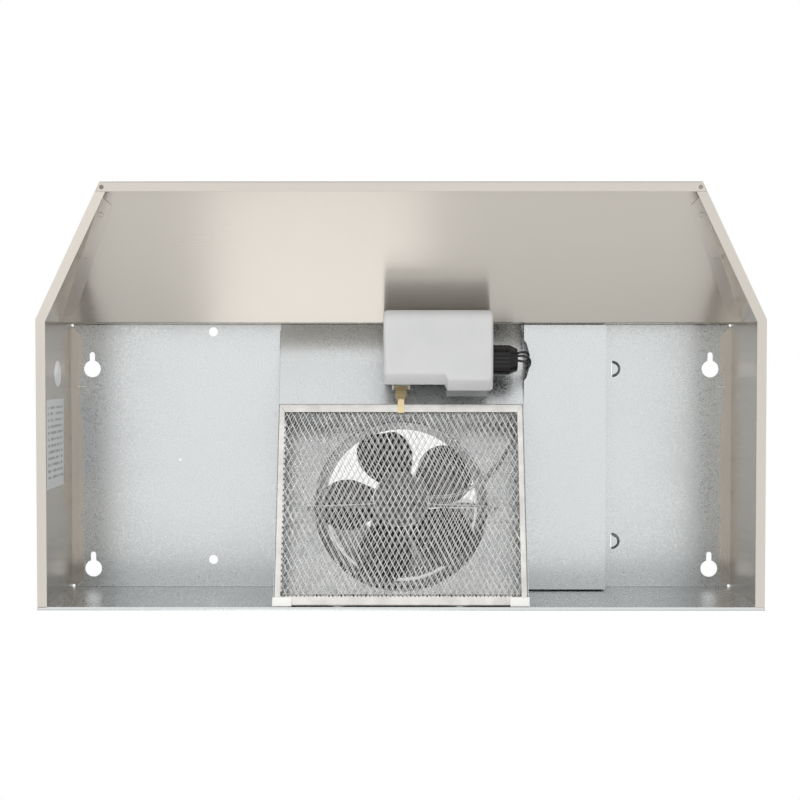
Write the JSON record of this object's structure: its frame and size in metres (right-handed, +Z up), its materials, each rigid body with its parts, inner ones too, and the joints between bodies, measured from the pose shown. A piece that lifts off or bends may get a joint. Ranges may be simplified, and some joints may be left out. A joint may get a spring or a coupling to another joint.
{
  "type": "under cabinet range hood",
  "caption": "Under cabinet range hood in brushed and galvanised steel: sloped visor, mesh filter, propeller fan, lamp with milky lens, duct collar with damper.",
  "frame": {"origin": "middle of the bottom rim, at the height of the hood's lowest edge", "axes": "+X to the right as seen from the front, +Y towards the wall behind the hood, +Z up towards the cabinet and the duct"},
  "size_m": [0.76, 0.447, 0.2483],
  "materials": {
    "stainless": "number 4 brushed stainless steel, grain across the front",
    "galvanised": "hot-dip galvanised sheet, fine spangle",
    "filter_aluminium": "folded sheet aluminium, mill finish",
    "mesh_aluminium": "expanded aluminium foil, bright",
    "plated_steel": "zinc plated",
    "motor_steel": "dark painted sheet steel",
    "core_steel": "stacked laminations",
    "copper_winding": "varnished winding",
    "bearing_bronze": "sintered bronze",
    "fan_plastic": "moulded, dark",
    "white_plastic": "moulded, white",
    "tan_plastic": "translucent tan",
    "lens_plastic": "milky translucent",
    "black_phenolic": "moulded phenolic, glossy",
    "black_plastic": "moulded, fine texture",
    "rocker_plastic": "moulded, light grey",
    "bulb_glass": "frosted inside",
    "black_wire": "insulation, black",
    "red_wire": "insulation, red",
    "connector_plastic": "moulded, orange",
    "green_screw": "green plated",
    "label_paper": "printed film, plain",
    "clear_film": "clear film"
  },
  "bodies": {
    "shell": {"front_panel": "stainless", "left_side_panel": "stainless", "right_side_panel": "stainless", "top_rear_panel": "galvanised", "venturi_plate": "galvanised", "left_plenum_wall": "galvanised", "right_plenum_wall": "galvanised", "filter_housing": "galvanised", "wiring_cover": "galvanised", "cover_screws": "plated_steel", "latch_base": "white_plastic", "latch_foot": "white_plastic", "latch_hooks": "plated_steel", "lamp_socket": "black_phenolic", "socket_bracket": "galvanised", "lamp_leads": "black_wire", "lamp_neutral_lead": "black_wire", "motor_bracket": "galvanised", "bracket_screws": "plated_steel", "motor_can": "motor_steel", "motor_end_cap": "motor_steel", "stator_core": "core_steel", "stator_coils": "copper_winding", "inlet_bearing": "bearing_bronze", "outlet_bearing": "bearing_bronze", "motor_leads": "black_wire", "duct_collar": "galvanised", "collar_screws": "plated_steel", "damper_rod": "plated_steel", "switch_bezel": "black_plastic", "light_switch_body": "black_plastic", "fan_switch_body": "black_plastic", "switch_leads": "red_wire", "wire_nuts": "connector_plastic", "cable_bushing": "black_plastic", "ground_screw": "green_screw", "rating_label": "label_paper", "clear_sticker": "clear_film"},
    "fan": {"fan_blade": "fan_plastic", "fan_hub": "bearing_bronze", "hub_nut": "plated_steel", "motor_shaft": "plated_steel", "rotor": "core_steel"},
    "filter": {"filter_frame": "filter_aluminium", "filter_mesh": "mesh_aluminium", "left_filter_corner": "white_plastic", "right_filter_corner": "white_plastic", "filter_pull_tab": "tan_plastic"},
    "latch": {"latch_tongue": "tan_plastic"},
    "lens": {"lamp_lens": "lens_plastic"},
    "bulb": {"bulb_glass": "bulb_glass", "bulb_base": "plated_steel"},
    "light_rocker_body": {"light_rocker": "rocker_plastic"},
    "fan_rocker_body": {"fan_rocker": "rocker_plastic"},
    "front_damper": {"front_flap": "galvanised"},
    "rear_damper": {"rear_flap": "galvanised"}
  },
  "joints": [
    {"name": "fan_spin", "type": "hinge", "parent": "shell", "child": "fan", "pos_m": [0, 0.1212, 0.08495], "axis": [0, 0.309, 0.9511], "continuous": true},
    {"name": "filter_swing", "type": "hinge", "parent": "shell", "child": "filter", "pos_m": [0, 0.2193, 0.0045], "axis": [1, 0, 0], "range_deg": [0, 70]},
    {"name": "latch_flex", "type": "hinge", "parent": "shell", "child": "latch", "pos_m": [0, -0.008, 0.121], "axis": [1, 0, 0], "range_deg": [-12, 0], "stiffness_Nm_per_rad": 0.03},
    {"name": "lens_release", "type": "slide", "parent": "shell", "child": "lens", "axis": [0, 0, -1], "range_m": [0, 0.09]},
    {"name": "bulb_turn", "type": "hinge", "parent": "shell", "child": "bulb", "pos_m": [0.09, -0.0386, 0.088], "axis": [1, 0, 0], "range_deg": [-720, 0]},
    {"name": "light_rocker_tilt", "type": "hinge", "parent": "shell", "child": "light_rocker_body", "pos_m": [0.169, -0.0817, 0.136], "axis": [1, 0, 0], "range_deg": [-16, 0]},
    {"name": "fan_rocker_tilt", "type": "hinge", "parent": "shell", "child": "fan_rocker_body", "pos_m": [0.203, -0.0817, 0.136], "axis": [1, 0, 0], "range_deg": [-9, 9]},
    {"name": "front_flap_swing", "type": "hinge", "parent": "shell", "child": "front_damper", "pos_m": [0, 0.129, 0.163], "axis": [1, 0, 0], "range_deg": [0, 88]},
    {"name": "rear_flap_swing", "type": "hinge", "parent": "shell", "child": "rear_damper", "pos_m": [0, 0.129, 0.163], "axis": [1, 0, 0], "range_deg": [0, 88]}
  ]
}
